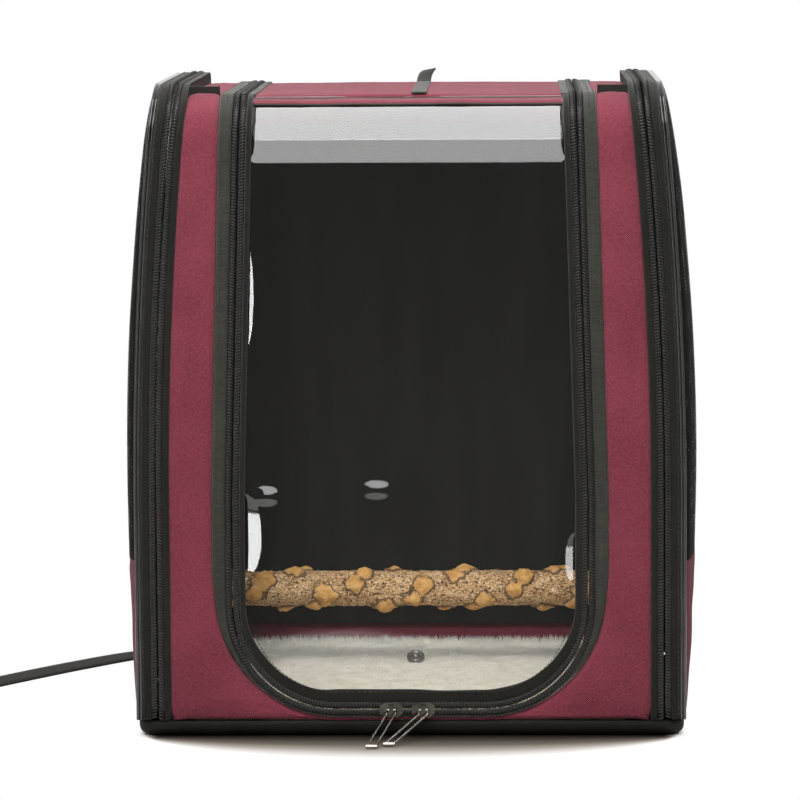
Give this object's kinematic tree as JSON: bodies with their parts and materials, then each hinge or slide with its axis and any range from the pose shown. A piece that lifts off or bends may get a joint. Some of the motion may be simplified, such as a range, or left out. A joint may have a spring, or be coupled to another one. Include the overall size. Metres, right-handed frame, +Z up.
{
  "type": "bird travel carrier",
  "caption": "Upright soft carrier for a small bird, with a clear front flap, a top flap, zip-off mesh sides, a wooden perch, a plush mat and shoulder straps.",
  "frame": {"origin": "on the floor, at the middle of the base tray's underside", "axes": "+X to the carrier's right as seen from the front, +Y to the back, +Z up; the clear front flap faces -Y"},
  "size_m": [0.5259, 0.3688, 0.4362],
  "materials": {
    "wine_fabric": "matte woven polyester over foam",
    "black_mesh": "open black polyester mesh",
    "black_tape": "woven black zip tape and binding",
    "black_coil": "moulded nylon zip coil",
    "black_piping": "glossy extruded piping",
    "black_webbing": "woven polyester webbing and padding",
    "black_base": "moulded base tray",
    "board": "stiffening board",
    "clear_film": "soft clear vinyl film",
    "steel": "bright nickel-plated zinc and steel",
    "branch_wood": "natural branch with bark",
    "plush": "long-pile cream plush"
  },
  "bodies": {
    "shell": {"base_tray": "black_base", "base_board": "board", "front_panel": "wine_fabric", "back_panel": "wine_fabric", "back_lining": "black_piping", "top_left_panel": "wine_fabric", "top_right_panel": "wine_fabric", "rim_left": "black_tape", "rim_right": "black_tape", "rim_tape_left": "black_tape", "rim_tape_right": "black_tape", "rim_coil_left": "black_coil", "rim_coil_right": "black_coil", "window_binding": "black_tape", "window_coil": "black_coil", "top_edge_binding": "black_tape", "sill_left": "board", "sill_right": "board", "perch_branch": "branch_wood", "perch_bolts": "steel", "perch_washers": "steel", "mat_stud": "steel", "handle_tabs": "black_webbing", "shoulder_pad_left": "black_webbing", "shoulder_pad_right": "black_webbing", "strap_webbing_left": "black_webbing", "strap_webbing_right": "black_webbing", "ladder_locks": "black_piping", "strap_tabs": "black_webbing"},
    "top_flap": {"top_flap_panel": "wine_fabric", "top_flap_tape": "black_tape", "top_flap_coil": "black_coil", "tie_strap": "black_tape", "tie_strap_end": "black_tape", "toy_loop": "black_webbing"},
    "window_flap": {"window_film": "clear_film", "window_tape": "black_tape", "window_flap_coil": "black_coil"},
    "front_slider_left": {"front_slider_left": "steel"},
    "front_slider_right": {"front_slider_right": "steel"},
    "front_pull_left": {"front_pull_left": "steel"},
    "front_pull_right": {"front_pull_right": "steel"},
    "left_door": {"door_mesh_left": "black_mesh", "door_skirt_left": "wine_fabric", "door_piping_left": "black_piping", "door_tape_left": "black_tape"},
    "right_door": {"door_mesh_right": "black_mesh", "door_skirt_right": "wine_fabric", "door_piping_right": "black_piping", "door_tape_right": "black_tape"},
    "side_slider_left": {"side_slider_left": "steel"},
    "side_slider_right": {"side_slider_right": "steel"},
    "side_pull_left": {"side_pull_left": "steel"},
    "side_pull_right": {"side_pull_right": "steel"},
    "handle": {"grab_handle": "black_webbing", "handle_sleeve": "black_webbing"},
    "mat": {"plush_mat": "plush", "mat_snap": "steel"},
    "wing_nut_left": {"wing_nut_left": "steel"},
    "wing_nut_right": {"wing_nut_right": "steel"}
  },
  "joints": [
    {"name": "top_flap_hinge", "type": "hinge", "parent": "shell", "child": "top_flap", "pos_m": [0, 0.1, 0.4275], "axis": [-1, 0, 0], "range_deg": [0, 100]},
    {"name": "window_flap_hinge", "type": "hinge", "parent": "top_flap", "child": "window_flap", "pos_m": [0, -0.10426, 0.42679], "axis": [-1, 0, 0], "range_deg": [0, 180]},
    {"name": "front_slider_left_slide", "type": "slide", "parent": "window_flap", "child": "front_slider_left", "axis": [-1, 0, 0], "range_m": [0, 0.02]},
    {"name": "front_slider_right_slide", "type": "slide", "parent": "window_flap", "child": "front_slider_right", "axis": [1, 0, 0], "range_m": [0, 0.02]},
    {"name": "front_pull_left_hinge", "type": "hinge", "parent": "front_slider_left", "child": "front_pull_left", "pos_m": [-0.013, -0.13265, 0.0182], "axis": [-1, 0, 0], "range_deg": [0, 90]},
    {"name": "front_pull_right_hinge", "type": "hinge", "parent": "front_slider_right", "child": "front_pull_right", "pos_m": [0.0083, -0.13265, 0.0182], "axis": [-1, 0, 0], "range_deg": [0, 90]},
    {"name": "left_door_hinge", "type": "hinge", "parent": "shell", "child": "left_door", "pos_m": [-0.1835, 0, 0.0105], "axis": [0, -1, 0], "range_deg": [0, 85]},
    {"name": "right_door_hinge", "type": "hinge", "parent": "shell", "child": "right_door", "pos_m": [0.1835, 0, 0.0105], "axis": [0, 1, 0], "range_deg": [0, 85]},
    {"name": "side_slider_left_slide", "type": "slide", "parent": "left_door", "child": "side_slider_left", "axis": [0, 0, 1], "range_m": [0, 0.1]},
    {"name": "side_slider_right_slide", "type": "slide", "parent": "right_door", "child": "side_slider_right", "axis": [0, 0, 1], "range_m": [0, 0.1]},
    {"name": "side_pull_left_hinge", "type": "hinge", "parent": "side_slider_left", "child": "side_pull_left", "pos_m": [-0.1684, 0.13265, 0.036], "axis": [1, 0, 0], "range_deg": [0, 150]},
    {"name": "side_pull_right_hinge", "type": "hinge", "parent": "side_slider_right", "child": "side_pull_right", "pos_m": [0.1684, 0.13265, 0.036], "axis": [1, 0, 0], "range_deg": [0, 150]},
    {"name": "handle_hinge", "type": "hinge", "parent": "shell", "child": "handle", "pos_m": [0, 0.1375, 0.393], "axis": [1, 0, 0], "range_deg": [0, 170]},
    {"name": "mat_lift", "type": "slide", "parent": "shell", "child": "mat", "axis": [0, 0, 1], "range_m": [0, 0.02]},
    {"name": "wing_nut_left_spin", "type": "hinge", "parent": "shell", "child": "wing_nut_left", "pos_m": [-0.17, 0, 0.079], "axis": [1, 0, 0], "continuous": true},
    {"name": "wing_nut_right_spin", "type": "hinge", "parent": "shell", "child": "wing_nut_right", "pos_m": [0.17, 0, 0.079], "axis": [1, 0, 0], "continuous": true}
  ]
}
